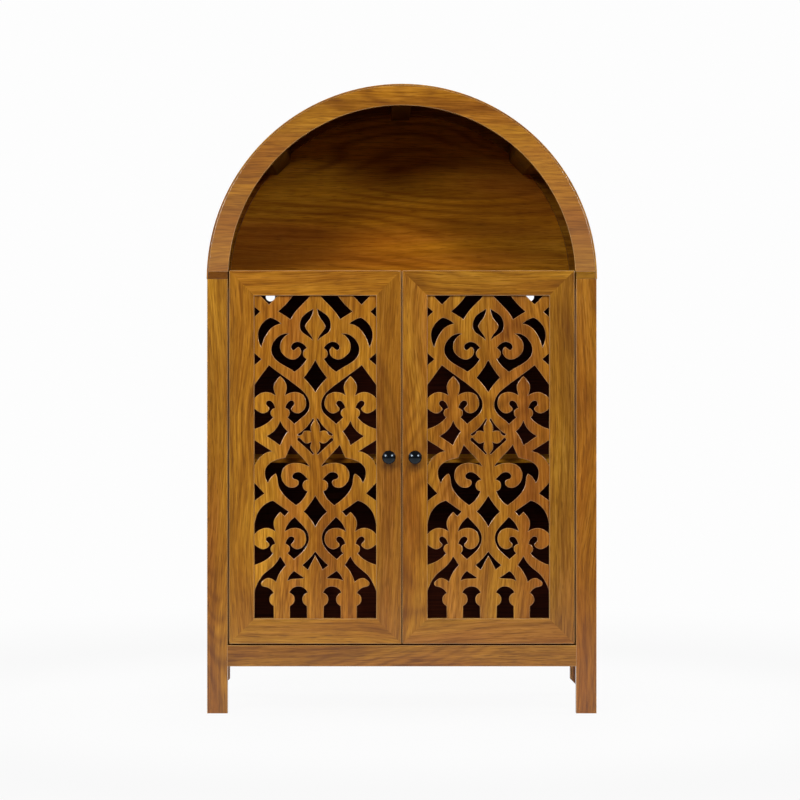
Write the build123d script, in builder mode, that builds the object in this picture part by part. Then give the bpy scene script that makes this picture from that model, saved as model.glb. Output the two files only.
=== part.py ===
from build123d import *
import os
from math import cos, dist, radians, sin

# Arched cabinet: an open arched niche above a cupboard with two fretwork doors, on four feet.
#
# Frame: X to the right, Y to the back, Z up, in millimetres. The origin lies on the floor, in the
# middle of the cabinet with its knobs. Pieces that come in pairs are drawn on the right-hand side,
# where x is positive, and mirrored to the left. Both doors are drawn closed.

os.makedirs("parts", exist_ok=True)

# ---- Driving dimensions ------------------------------------------------------------------------
# Carcass
cabinet_w = 800.0         # across the roof skin, the widest part
cabinet_d = 350.0         # front face to back face, without the knobs
post_h = 890.0            # floor to the top of the posts; the arch is struck from this height
post_w = 42.0
post_t = 18.0
board_t = 15.0            # side panels, fixed shelf, bottom panel, arches and rear stiles
side_reveal = 1.0         # posts and side panels stand this far inside the roof skin
back_t = 3.0              # hardboard back panels
rail_z = 96.0             # floor to the underside of the front bottom rail
rail_h = 43.0
rail_setback = 1.0        # rail face behind the post faces
foot_d = 44.0             # rear foot of a side panel, front to back
rear_frame_w = 30.0       # from the outside to the inner edge of the rear arch and rear stiles
rear_stile_z = 20.0       # lower end of the rear stiles
rear_stile_chamfer = 12.0
stop_batten_d = 20.0      # door stop behind each post, front to back
stop_batten_lap = 7.0     # how far it stands inboard of the post, behind the door
arris_r = 1.2             # rounding of the long edges that a hand meets

# Arch
arch_face_w = 44.0        # from the outside of the roof skin to the niche opening
skin_t = 3.0
skin_clear = 0.3          # between the arches and the skin that is bent round them
arch_batten_w = 40.0      # of the face that shows in the niche
arch_batten_angles = (45.0, 90.0, 135.0)

# Doors
door_t = 18.0
door_z = 142.5            # floor to the underside of the doors
door_over = 2.5           # how far the doors reach above the fixed shelf
door_gap = 2.0            # between the two doors
door_back_clear = 0.5     # door to stop batten and shelf edge
frame_w = 51.5            # width of door stiles and rails
fret_t = 6.0
fret_setback = 5.0        # fretwork face behind the door face
groove_depth = 8.0        # groove in the door frame that holds the fretwork panel
groove_clear = 0.1        # each side of the panel
groove_end_clear = 0.5    # panel edge to groove floor

# Continuous hinge between door and post
hinge_gap = 3.2           # post to door
hinge_leaf_t = 0.7
hinge_leaf_w = 15.0
hinge_barrel_d = 2.8
hinge_bore_d = 1.9
hinge_pin_d = 1.6
hinge_axis_depth = 0.9    # pin centre behind the front face
hinge_end_inset = 8.0     # hinge ends inside the door's ends
hinge_top_inset = 20.0
hinge_knuckles = 21
hinge_knuckle_clear = 0.3
hinge_leaf_start = 1.6    # flat of the leaf begins this far behind the pin centre

# Knob
knob_d = 28.0
knob_reach = 25.0
knob_base_d = 15.0
knob_base_t = 1.5
knob_neck_d = 10.0
knob_neck_curve = 3.0     # length of the hollow curve at each end of the neck
knob_head_t = 13.5
knob_rim = 10.0           # widest part, from the tip
knob_bore_depth = 14.0
knob_screw_d = 4.0
knob_screw_head_d = 8.0
knob_screw_head_h = 2.4
knob_screw_bite = 11.0    # how far the screw enters the knob

# Inner shelf on four pins
inner_shelf_z = 511.5
inner_shelf_t = 9.0
inner_shelf_setback = 45.0
inner_shelf_clear = 1.0
pin_d = 5.0
pin_flange_d = 9.0
pin_flange_t = 1.5
pin_in_panel = 9.0
pin_out = 9.0
pin_inset = 40.0          # pins from the shelf's front and back edges
pin_hole_pitch = 32.0
pin_hole_rows = 5
pin_hole_clear = 0.5      # hole end beyond the pin

# Catches, back holes and fastenings
catch_w = 40.0
catch_d = 26.0
catch_h = 14.0
catch_x = 14.0            # from the middle of the cabinet to the catch
magnet_w = 26.0
magnet_h = 8.0
magnet_d = 6.0
magnet_proud = 0.5
strike_w = 34.0
strike_h = 12.0
strike_t = 1.2
strike_clear = 0.3
strike_pin_d = 3.0
strike_pin_l = 5.0
back_hole_d = 20.0        # two holes for a cable or a wall strap
back_hole_x = 282.5
back_hole_drop = 27.0     # below the fixed shelf
dowel_d = 8.0
dowel_l = 20.0
dowel_inset = 50.0        # from a board's end to its first dowel
foot_dowel_inset = 11.0   # from a narrow foot's edge to its dowel
dowel_clear = 0.1         # dowel hole over dowel, in diameter
dowel_end_clear = 0.5
back_screw_inset = 30.0   # from a back panel's end to its first screw
back_screw_spread = 240.0 # between the screws along a board
screw_d = 3.0
screw_head_d = 5.6
screw_l = 16.0
hinge_screw_d = 2.4
hinge_screw_head_d = 4.4
hinge_screw_l = 13.0
hinge_screws = 7
screw_clear = 0.1         # screw hole over screw, in diameter
screw_end_clear = 1.0
recess_w = 0.7            # cross recess in the screw heads
recess_depth = 0.8
small_gap = 0.2           # between pieces that are fitted by hand

# ---- Places worked out from them ---------------------------------------------------------------
front_y = -(cabinet_d + knob_reach) / 2 + knob_reach
back_y = front_y + cabinet_d
post_back_y = front_y + post_t
door_back_y = front_y + door_t
inside_y = max(post_back_y, door_back_y) + door_back_clear
covered_y = back_y - back_t               # what the back panels lie against
stile_front_y = covered_y - board_t

arch_r = cabinet_w / 2
skin_in_r = arch_r - skin_t
ring_out_r = skin_in_r - skin_clear
ring_in_r = arch_r - arch_face_w
rear_ring_in_r = arch_r - rear_frame_w
side_out_x = arch_r - side_reveal
side_in_x = side_out_x - board_t
side_mid_x = (side_out_x + side_in_x) / 2
post_in_x = side_out_x - post_w
rear_stile_in_x = arch_r - rear_frame_w

rail_top_z = rail_z + rail_h
bottom_z = rail_top_z - board_t
shelf_top_z = post_h + board_t
shelf_end_x = (ring_out_r**2 - board_t**2) ** 0.5
back_split_z = post_h + board_t / 2
back_hole_z = post_h - back_hole_drop

door_in_x = door_gap / 2
door_out_x = post_in_x - hinge_gap
door_w = door_out_x - door_in_x
door_mid_x = (door_out_x + door_in_x) / 2
door_top_z = shelf_top_z + door_over
door_h = door_top_z - door_z
opening_w = door_w - 2 * frame_w
opening_h = door_h - 2 * frame_w
opening_z = door_z + frame_w
fret_front_y = front_y + fret_setback
fret_back_y = fret_front_y + fret_t

hinge_x = post_in_x - hinge_gap / 2
hinge_y = front_y + hinge_axis_depth
hinge_z = door_z + hinge_end_inset
hinge_len = post_h - hinge_top_inset - hinge_z
knuckle_pitch = hinge_len / hinge_knuckles

knob_x = door_in_x + frame_w / 2
knob_z = door_z + door_h / 2


# ---- Helpers -----------------------------------------------------------------------------------
def save(piece, name):
    """Label a finished piece and write it."""
    piece.part.label = name
    export_step(piece.part, f"parts/{name}.step")


def save_pair(right_piece, name):
    """Write a piece of the right-hand side, and its mirror image on the left."""
    save(right_piece, f"right_{name}")
    with BuildPart() as left_piece:
        mirror(right_piece.part, about=Plane.YZ)
    save(left_piece, f"left_{name}")


def middle(span):
    return (span[0] + span[1]) / 2


def strike_pin_hole():
    """In the current part: the blind hole for the strike plate's pin."""
    with Locations(*strike_place):
        Cylinder((strike_pin_d + dowel_clear) / 2, 2 * (strike_pin_l + dowel_end_clear),
                 mode=Mode.SUBTRACT)


def block(x, y, z, mode=Mode.ADD):
    """In the current part: the block that fills three (low, high) spans."""
    with Locations((middle(x), middle(y), middle(z))):
        Box(x[1] - x[0], y[1] - y[0], z[1] - z[0], mode=mode)


def upright(y, x=0.0, z=0.0):
    """A sketch plane that faces the front, at depth y: its own axes are X and Z."""
    return Plane(origin=(x, y, z), x_dir=(1, 0, 0), z_dir=(0, -1, 0))


def facing(direction, *points):
    """Planes at the given points, looking along a direction, to drill or place pieces from."""
    return [Plane(origin=point, z_dir=direction) for point in points]


def round_front_edges(piece, axis):
    """Round the long front edges of the current part that run along an axis."""
    fillet(piece.edges().filter_by(axis).group_by(Axis.Y)[0], arris_r)


def dowel_holes(places, diameter=dowel_d):
    """In the current part: holes for dowels that lie across a joint, half in each piece."""
    with Locations(*places):
        Cylinder((diameter + dowel_clear) / 2, dowel_l + 2 * dowel_end_clear, mode=Mode.SUBTRACT)


def screw_holes(places, diameter, head_diameter, length):
    """In the current part: countersunk holes drilled from the given planes."""
    with Locations(*places):
        CounterSinkHole((diameter + screw_clear) / 2, (head_diameter + screw_clear) / 2,
                        length + screw_end_clear, 90)


def polar(radius, angle):
    """A point of the arch, by its radius and its angle from the right-hand foot."""
    return radius * cos(radians(angle)), post_h + radius * sin(radians(angle))


def arch_fastening(angle, y):
    """Where a dowel or screw enters the arches, at depth y: midway across the rear arch."""
    x, z = polar((rear_ring_in_r + ring_out_r) / 2, angle)
    return x, y, z


def ring(inner_r, outer_r, foot_z, y):
    """In the current part: the half ring of the arch between two radii, cut off at foot_z."""
    with BuildSketch(upright(y[1], z=post_h)) as face:
        Circle(outer_r)
        if inner_r:
            Circle(inner_r, mode=Mode.SUBTRACT)
        with Locations((0, foot_z - post_h - outer_r)):
            Rectangle(2 * outer_r, 2 * outer_r, mode=Mode.SUBTRACT)
    extrude(face.sketch, amount=y[1] - y[0])


# ---- Fastenings that are used in groups --------------------------------------------------------
def countersunk_screw(diameter, head_diameter, length):
    """A countersunk screw that points down from z = 0, with a cross recess."""
    head_h = (head_diameter - diameter) / 2
    with BuildPart() as screw:
        with BuildSketch(Plane.XZ):
            with BuildLine():
                Polyline((0, 0), (head_diameter / 2, 0), (diameter / 2, -head_h),
                         (diameter / 2, -length + diameter), (0, -length), close=True)
            make_face()
        revolve(axis=Axis.Z)
        recess_l = head_diameter * 0.6
        Box(recess_l, recess_w, 2 * recess_depth, mode=Mode.SUBTRACT)
        Box(recess_w, recess_l, 2 * recess_depth, mode=Mode.SUBTRACT)
    return screw.part


wood_screw = countersunk_screw(screw_d, screw_head_d, screw_l)
hinge_screw = countersunk_screw(hinge_screw_d, hinge_screw_head_d, hinge_screw_l)

# ---- Dowel places, right-hand side -------------------------------------------------------------
bottom_dowels = facing((1, 0, 0), *[(side_in_x, y, bottom_z + board_t / 2)
                                    for y in (post_back_y + dowel_inset,
                                              covered_y - dowel_inset)])
side_top_dowels = facing((0, 0, 1), *[(side_mid_x, y, post_h)
                                      for y in (post_back_y + dowel_inset,
                                                middle((post_back_y, covered_y)),
                                                covered_y - dowel_inset)])
post_top_dowel = facing((0, 0, 1), (post_in_x + foot_dowel_inset, front_y + post_t / 2, post_h))
rail_dowel = facing((1, 0, 0), (post_in_x, (front_y + rail_setback + post_back_y) / 2,
                                rail_z + rail_h / 2))
arch_foot_x = shelf_end_x - foot_dowel_inset
front_arch_dowel = facing((0, 0, 1), (arch_foot_x, front_y + board_t / 2, shelf_top_z))
rear_arch_dowel = facing((0, 0, 1), (rear_ring_in_r + foot_dowel_inset, stile_front_y + board_t / 2,
                                     shelf_top_z))
carcass_dowels_right = (bottom_dowels + side_top_dowels + post_top_dowel + rail_dowel
                        + front_arch_dowel + rear_arch_dowel)

batten_ends = (front_y + board_t, stile_front_y)
arch_batten_dowels = facing((0, 1, 0), *[arch_fastening(angle, y)
                                         for angle in arch_batten_angles for y in batten_ends])

# ---- Screw places of the back panels -----------------------------------------------------------
back_screw_rows = 6
lower_back_low = bottom_z
row_pitch = (back_split_z - lower_back_low - 2 * back_screw_inset) / (back_screw_rows - 1)
side_screw_z = [lower_back_low + back_screw_inset + row * row_pitch
                for row in range(back_screw_rows)]
side_screws = facing((0, 1, 0), *[(side_mid_x, back_y, z) for z in side_screw_z])
across_x = (-back_screw_spread, 0.0, back_screw_spread)
bottom_screws = facing((0, 1, 0), *[(x, back_y, bottom_z + board_t / 2) for x in across_x])
shelf_screws = facing((0, 1, 0), *[(x, back_y, middle((post_h, back_split_z))) for x in across_x])
arch_screw_angles = range(10, 180, 32)
arch_screws = facing((0, 1, 0), *[arch_fastening(angle, back_y) for angle in arch_screw_angles])

# ---- Posts, side panels, battens and rear stiles -----------------------------------------------
hinge_screw_pitch = hinge_len / hinge_screws
hinge_screw_z = [hinge_z + (number + 0.5) * hinge_screw_pitch for number in range(hinge_screws)]
hinge_screw_y = hinge_y + hinge_leaf_start + hinge_leaf_w / 2
post_leaf_screws = facing((-1, 0, 0), *[(post_in_x - hinge_leaf_t, hinge_screw_y, z)
                                        for z in hinge_screw_z])
door_leaf_screws = facing((1, 0, 0), *[(door_out_x + hinge_leaf_t, hinge_screw_y, z)
                                       for z in hinge_screw_z])

with BuildPart() as front_post:
    block((post_in_x, side_out_x), (front_y, post_back_y), (0, post_h))
    round_front_edges(front_post, Axis.Z)
    dowel_holes(post_top_dowel + rail_dowel)
    screw_holes(post_leaf_screws, hinge_screw_d, hinge_screw_head_d, hinge_screw_l)
save_pair(front_post, "front_post")

shelf_pin_y = (inside_y + inner_shelf_setback - door_back_clear + pin_inset,
               stile_front_y - inner_shelf_clear - pin_inset)
shelf_pin_z = inner_shelf_z - pin_d / 2
pin_holes = facing((1, 0, 0), *[(side_in_x, y, shelf_pin_z + step * pin_hole_pitch)
                                for y in shelf_pin_y
                                for step in range(-(pin_hole_rows // 2), pin_hole_rows // 2 + 1)])

with BuildPart() as side_panel:
    block((side_in_x, side_out_x), (post_back_y, covered_y), (0, post_h))
    block((side_in_x, side_out_x), (post_back_y, covered_y - foot_d), (0, rail_z), Mode.SUBTRACT)
    dowel_holes(bottom_dowels + side_top_dowels)
    with Locations(*pin_holes):
        Cylinder((pin_d + small_gap) / 2, 2 * (pin_in_panel + pin_hole_clear), mode=Mode.SUBTRACT)
    screw_holes(side_screws, screw_d, screw_head_d, screw_l)
save_pair(side_panel, "side_panel")

with BuildPart() as stop_batten:
    block((post_in_x - stop_batten_lap, side_in_x), (inside_y, inside_y + stop_batten_d),
          (rail_top_z, post_h))
    block((post_in_x, side_in_x), (post_back_y, inside_y), (rail_top_z, post_h))
save_pair(stop_batten, "stop_batten")

with BuildPart() as rear_stile:
    block((rear_stile_in_x, side_in_x), (stile_front_y, covered_y), (rear_stile_z, post_h))
    chamfer(rear_stile.edges().filter_by(Axis.Y).group_by(Axis.Z)[0].sort_by(Axis.X)[0],
            rear_stile_chamfer)
save_pair(rear_stile, "rear_stile")

# ---- Boards across the carcass -----------------------------------------------------------------
with BuildPart() as front_bottom_rail:
    block((-post_in_x, post_in_x), (front_y + rail_setback, post_back_y), (rail_z, rail_top_z))
    round_front_edges(front_bottom_rail, Axis.X)
    dowel_holes(rail_dowel)
    mirror(about=Plane.YZ, mode=Mode.INTERSECT)
save(front_bottom_rail, "front_bottom_rail")

with BuildPart() as bottom_panel:
    block((-side_in_x, side_in_x), (post_back_y, covered_y), (bottom_z, rail_top_z))
    block((rear_stile_in_x - small_gap, side_in_x), (stile_front_y - small_gap, covered_y),
          (bottom_z, rail_top_z), Mode.SUBTRACT)
    dowel_holes(bottom_dowels)
    mirror(about=Plane.YZ, mode=Mode.INTERSECT)
    screw_holes(bottom_screws, screw_d, screw_head_d, screw_l)
save(bottom_panel, "bottom_panel")

# The shelf ends run out to the front over the posts; between them the doors close on its edge.
with BuildPart() as fixed_shelf:
    block((-shelf_end_x, shelf_end_x), (front_y, covered_y), (post_h, shelf_top_z))
    block((-post_in_x, post_in_x), (front_y, inside_y), (post_h, shelf_top_z), Mode.SUBTRACT)
    round_front_edges(fixed_shelf, Axis.Z)
    dowel_holes(side_top_dowels + post_top_dowel + front_arch_dowel + rear_arch_dowel)
    mirror(about=Plane.YZ, mode=Mode.INTERSECT)
    screw_holes(shelf_screws, screw_d, screw_head_d, screw_l)
save(fixed_shelf, "fixed_shelf")

with BuildPart() as inner_shelf:
    block((-side_in_x + inner_shelf_clear, side_in_x - inner_shelf_clear),
          (front_y + inner_shelf_setback, stile_front_y - inner_shelf_clear),
          (inner_shelf_z, inner_shelf_z + inner_shelf_t))
    round_front_edges(inner_shelf, Axis.X)
save(inner_shelf, "inner_shelf")

# ---- Arch --------------------------------------------------------------------------------------
with BuildPart() as front_arch:
    ring(ring_in_r, ring_out_r, shelf_top_z, (front_y, front_y + board_t))
    fillet(front_arch.edges().filter_by(GeomType.CIRCLE).group_by(Axis.Y)[0]
           .sort_by(SortBy.RADIUS)[0], arris_r)
    dowel_holes(front_arch_dowel + arch_batten_dowels)
    mirror(about=Plane.YZ, mode=Mode.INTERSECT)
save(front_arch, "front_arch")

with BuildPart() as rear_arch:
    ring(rear_ring_in_r, ring_out_r, shelf_top_z, (stile_front_y, covered_y))
    dowel_holes(rear_arch_dowel + arch_batten_dowels)
    mirror(about=Plane.YZ, mode=Mode.INTERSECT)
    screw_holes(arch_screws, screw_d, screw_head_d, screw_l)
save(rear_arch, "rear_arch")

# The crown batten is square to the arch. The side battens have a level underside and an upright
# end, and between them a sloping face that is flush with the niche opening.
crown_out_r = (ring_out_r**2 - (arch_batten_w / 2)**2) ** 0.5
with BuildPart() as crown_batten:
    block((-arch_batten_w / 2, arch_batten_w / 2), batten_ends,
          (post_h + ring_in_r, post_h + crown_out_r))
    dowel_holes(arch_batten_dowels)
save(crown_batten, "crown_arch_batten")

slope = cos(radians(arch_batten_angles[0]))
batten_low = (ring_in_r - arch_batten_w / 2) * slope
batten_high = (ring_in_r + arch_batten_w / 2) * slope
batten_reach = (ring_out_r**2 - batten_low**2) ** 0.5
with BuildPart() as side_batten:
    with BuildSketch(upright(batten_ends[1], z=post_h)):
        with BuildLine():
            Polyline((batten_reach, batten_low), (batten_high, batten_low),
                     (batten_low, batten_high), (batten_low, batten_reach))
            ThreePointArc((batten_low, batten_reach), (ring_out_r * slope, ring_out_r * slope),
                          (batten_reach, batten_low))
        make_face()
    extrude(amount=batten_ends[1] - batten_ends[0])
    dowel_holes(arch_batten_dowels)
save_pair(side_batten, "arch_batten")

with BuildPart() as roof_skin:
    ring(skin_in_r, arch_r, post_h, (front_y, covered_y))
save(roof_skin, "roof_skin")

# ---- Back panels -------------------------------------------------------------------------------
with BuildPart() as lower_back:
    block((-side_out_x, side_out_x), (covered_y, back_y), (lower_back_low, back_split_z))
    with Locations(*facing((0, 1, 0), (back_hole_x, back_y, back_hole_z))):
        Hole(back_hole_d / 2)
    screw_holes(side_screws, screw_d, screw_head_d, screw_l)
    mirror(about=Plane.YZ, mode=Mode.INTERSECT)
    screw_holes(bottom_screws + shelf_screws, screw_d, screw_head_d, screw_l)
save(lower_back, "lower_back_panel")

with BuildPart() as upper_back:
    ring(0, arch_r, back_split_z + small_gap, (covered_y, back_y))
    screw_holes(arch_screws, screw_d, screw_head_d, screw_l)
save(upper_back, "upper_back_panel")

with BuildPart() as back_screws:
    with Locations(*side_screws):
        add(wood_screw)
    mirror(about=Plane.YZ)
    with Locations(*(bottom_screws + shelf_screws + arch_screws)):
        add(wood_screw)
save(back_screws, "back_panel_screws")

# ---- Dowels ------------------------------------------------------------------------------------
with BuildPart() as carcass_dowels:
    with Locations(*carcass_dowels_right):
        Cylinder(dowel_d / 2, dowel_l)
    mirror(about=Plane.YZ)
save(carcass_dowels, "carcass_dowels")

with BuildPart() as arch_dowels:
    with Locations(*arch_batten_dowels):
        Cylinder(dowel_d / 2, dowel_l)
save(arch_dowels, "arch_dowels")

# ---- Shelf pins --------------------------------------------------------------------------------
with BuildPart() as shelf_pins:
    for y in shelf_pin_y:
        with Locations(*facing((-1, 0, 0), (side_in_x, y, shelf_pin_z))):
            Cylinder(pin_d / 2, pin_in_panel, align=(Align.CENTER, Align.CENTER, Align.MAX))
            Cylinder(pin_flange_d / 2, pin_flange_t, align=(Align.CENTER, Align.CENTER, Align.MIN))
            Cylinder(pin_d / 2, pin_out, align=(Align.CENTER, Align.CENTER, Align.MIN))
    block((side_in_x - pin_out, side_in_x),
          (shelf_pin_y[0] - pin_flange_d, shelf_pin_y[1] + pin_flange_d),
          (inner_shelf_z, inner_shelf_z + pin_flange_d), Mode.SUBTRACT)
    mirror(about=Plane.YZ)
save(shelf_pins, "shelf_pins")

# ---- Continuous hinges -------------------------------------------------------------------------
def hinge_leaf(fixed_x, side, first_knuckle, screws):
    """In the current part: a leaf whose flat lies on the face at fixed_x and turns towards side.

    Every second knuckle, from first_knuckle on, belongs to this leaf.
    """
    leaf_x = sorted((fixed_x, fixed_x + side * hinge_leaf_t))
    flat_y = hinge_y + hinge_leaf_start
    block(leaf_x, (flat_y, flat_y + hinge_leaf_w), (hinge_z, hinge_z + hinge_len))
    for number in range(first_knuckle, hinge_knuckles, 2):
        low = hinge_z + number * knuckle_pitch + hinge_knuckle_clear / 2
        high = low + knuckle_pitch - hinge_knuckle_clear
        block(leaf_x, (hinge_y, flat_y), (low, high))
        with Locations((hinge_x, hinge_y, (low + high) / 2)):
            Cylinder(hinge_barrel_d / 2, high - low)
    with Locations((hinge_x, hinge_y, hinge_z + hinge_len / 2)):
        Cylinder(hinge_bore_d / 2, hinge_len, mode=Mode.SUBTRACT)
    screw_holes(screws, hinge_screw_d, hinge_screw_head_d, hinge_screw_l)


with BuildPart() as post_leaf:
    hinge_leaf(post_in_x, -1, 0, post_leaf_screws)
save_pair(post_leaf, "hinge_post_leaf")

with BuildPart() as door_leaf:
    hinge_leaf(door_out_x, 1, 1, door_leaf_screws)
save_pair(door_leaf, "hinge_door_leaf")

with BuildPart() as hinge_pin:
    with Locations((hinge_x, hinge_y, hinge_z + hinge_len / 2)):
        Cylinder(hinge_pin_d / 2, hinge_len)
save_pair(hinge_pin, "hinge_pin")

with BuildPart() as hinge_post_screws:
    with Locations(*post_leaf_screws):
        add(hinge_screw)
save_pair(hinge_post_screws, "hinge_post_screws")

with BuildPart() as hinge_door_screws:
    with Locations(*door_leaf_screws):
        add(hinge_screw)
save_pair(hinge_door_screws, "hinge_door_screws")

# ---- Door frames -------------------------------------------------------------------------------
groove_y = (fret_front_y - groove_clear, fret_back_y + groove_clear)
door_mid_y = front_y + door_t / 2
mitre_x = (door_in_x + frame_w / 2, door_out_x - frame_w / 2)
mitre_z = (door_z + frame_w / 2, door_top_z - frame_w / 2)
mitre_dowels = (facing((1, 0, -1), (mitre_x[0], door_mid_y, mitre_z[0]),
                       (mitre_x[1], door_mid_y, mitre_z[1]))
                + facing((1, 0, 1), (mitre_x[0], door_mid_y, mitre_z[1]),
                         (mitre_x[1], door_mid_y, mitre_z[0])))
knob_place = facing((0, -1, 0), (knob_x, front_y, knob_z))
catch_z = post_h - catch_h / 2
strike_place = [Plane(origin=(catch_x + catch_w / 2, door_back_y, catch_z), x_dir=(1, 0, 0),
                      z_dir=(0, 1, 0))]


def mitred_member(corners):
    """In the current part: one member of the door frame, from its outline seen from the front."""
    with BuildSketch(upright(door_back_y)) as outline:
        Polygon(*corners, align=None)
    extrude(outline.sketch, amount=door_t)


def groove(x, z):
    """In the current part: the groove for the fretwork panel over the given spans."""
    block(x, groove_y, z, Mode.SUBTRACT)


opening_x = (door_in_x + frame_w, door_out_x - frame_w)
opening_top_z = opening_z + opening_h
groove_x = (opening_x[0] - groove_depth, opening_x[1] + groove_depth)
groove_z = (opening_z - groove_depth, opening_top_z + groove_depth)

with BuildPart() as meeting_stile:
    mitred_member([(door_in_x, door_z), (opening_x[0], opening_z), (opening_x[0], opening_top_z),
                   (door_in_x, door_top_z)])
    round_front_edges(meeting_stile, Axis.Z)
    groove(groove_x, groove_z)
    dowel_holes(mitre_dowels)
    strike_pin_hole()
    with Locations(*knob_place):
        Hole((knob_screw_d + small_gap) / 2)
save_pair(meeting_stile, "door_meeting_stile")

with BuildPart() as hinge_stile:
    mitred_member([(door_out_x, door_z), (door_out_x, door_top_z), (opening_x[1], opening_top_z),
                   (opening_x[1], opening_z)])
    round_front_edges(hinge_stile, Axis.Z)
    groove(groove_x, groove_z)
    dowel_holes(mitre_dowels)
    screw_holes(door_leaf_screws, hinge_screw_d, hinge_screw_head_d, hinge_screw_l)
save_pair(hinge_stile, "door_hinge_stile")

with BuildPart() as door_top_rail:
    mitred_member([(door_in_x, door_top_z), (opening_x[0], opening_top_z),
                   (opening_x[1], opening_top_z), (door_out_x, door_top_z)])
    round_front_edges(door_top_rail, Axis.X)
    groove(groove_x, groove_z)
    dowel_holes(mitre_dowels)
    strike_pin_hole()
save_pair(door_top_rail, "door_top_rail")

with BuildPart() as door_bottom_rail:
    mitred_member([(door_in_x, door_z), (door_out_x, door_z), (opening_x[1], opening_z),
                   (opening_x[0], opening_z)])
    round_front_edges(door_bottom_rail, Axis.X)
    groove(groove_x, groove_z)
    dowel_holes(mitre_dowels)
save_pair(door_bottom_rail, "door_bottom_rail")

with BuildPart() as door_dowels:
    with Locations(*mitre_dowels):
        Cylinder(dowel_d / 2, dowel_l)
save_pair(door_dowels, "door_dowels")

# ---- Fretwork ----------------------------------------------------------------------------------
# The pattern is drawn on a grid of squares that starts at the middle of the opening's lower edge.
# Each cut-out of the right-hand half is a list of runs, joined to each other by straight lines
# where they don't touch: one point makes a corner, three an arc, more a smooth curve. The outermost
# points lie this many squares behind the frame.
fret_overlap = 0.6

# A fleur-de-lis stands either side of the centre line, high and low. Its runs are given for the
# high one, on the side towards the centre line.
fleur_tips = ((35.15, 242.5), (35.15, 106.5))
leaf_side = [(30.5, 223.0), (28.8, 228.6), (28.6, 232.3), (31.0, 237.9), fleur_tips[0]]
scroll_side = [(30.0, 210.4), (29.2, 213.1), (27.3, 216.2), (24.3, 217.9), (21.6, 216.8),
               (21.2, 214.2), (22.9, 211.9), (24.3, 209.9), (22.0, 206.6), (17.9, 205.2),
               (12.8, 207.4), (9.7, 212.0), (9.3, 217.2), (11.9, 223.2), (16.4, 225.9),
               (20.8, 226.5), (26.2, 225.4), (30.5, 223.0)]
knuckle_side = [(28.0, 201.3), (25.5, 205.8), (30.0, 210.4)]
outer_scroll_top = [(39.8, 223.0), (44.1, 225.4), (49.5, 226.5), (54.5, 225.3), (61.6, 219.3)]
outer_scroll_eye = [(61.6, 210.4), (57.5, 207.2), (52.4, 205.2), (48.3, 206.6), (46.0, 209.9),
                    (47.4, 211.9), (49.1, 214.2), (48.7, 216.8), (46.0, 217.9), (43.0, 216.2),
                    (41.1, 213.1), (40.3, 210.4)]
outer_fleur_foot = [(42.3, 201.3), (45.1, 198.1), (54.5, 191.9), (61.6, 189.4)]


def lowered(run):
    """The same run on the low fleur-de-lis."""
    drop = fleur_tips[0][1] - fleur_tips[1][1]
    return [(x, z - drop) for x, z in run]


def across_fleur(run):
    """The run on the other side of the fleur-de-lis."""
    return [(2 * fleur_tips[0][0] - x, z) for x, z in run]


def backwards(run):
    """The same run from its other end."""
    return run[::-1]


under_outer_scroll = [outer_scroll_eye, backwards(across_fleur(knuckle_side)), outer_fleur_foot]

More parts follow.
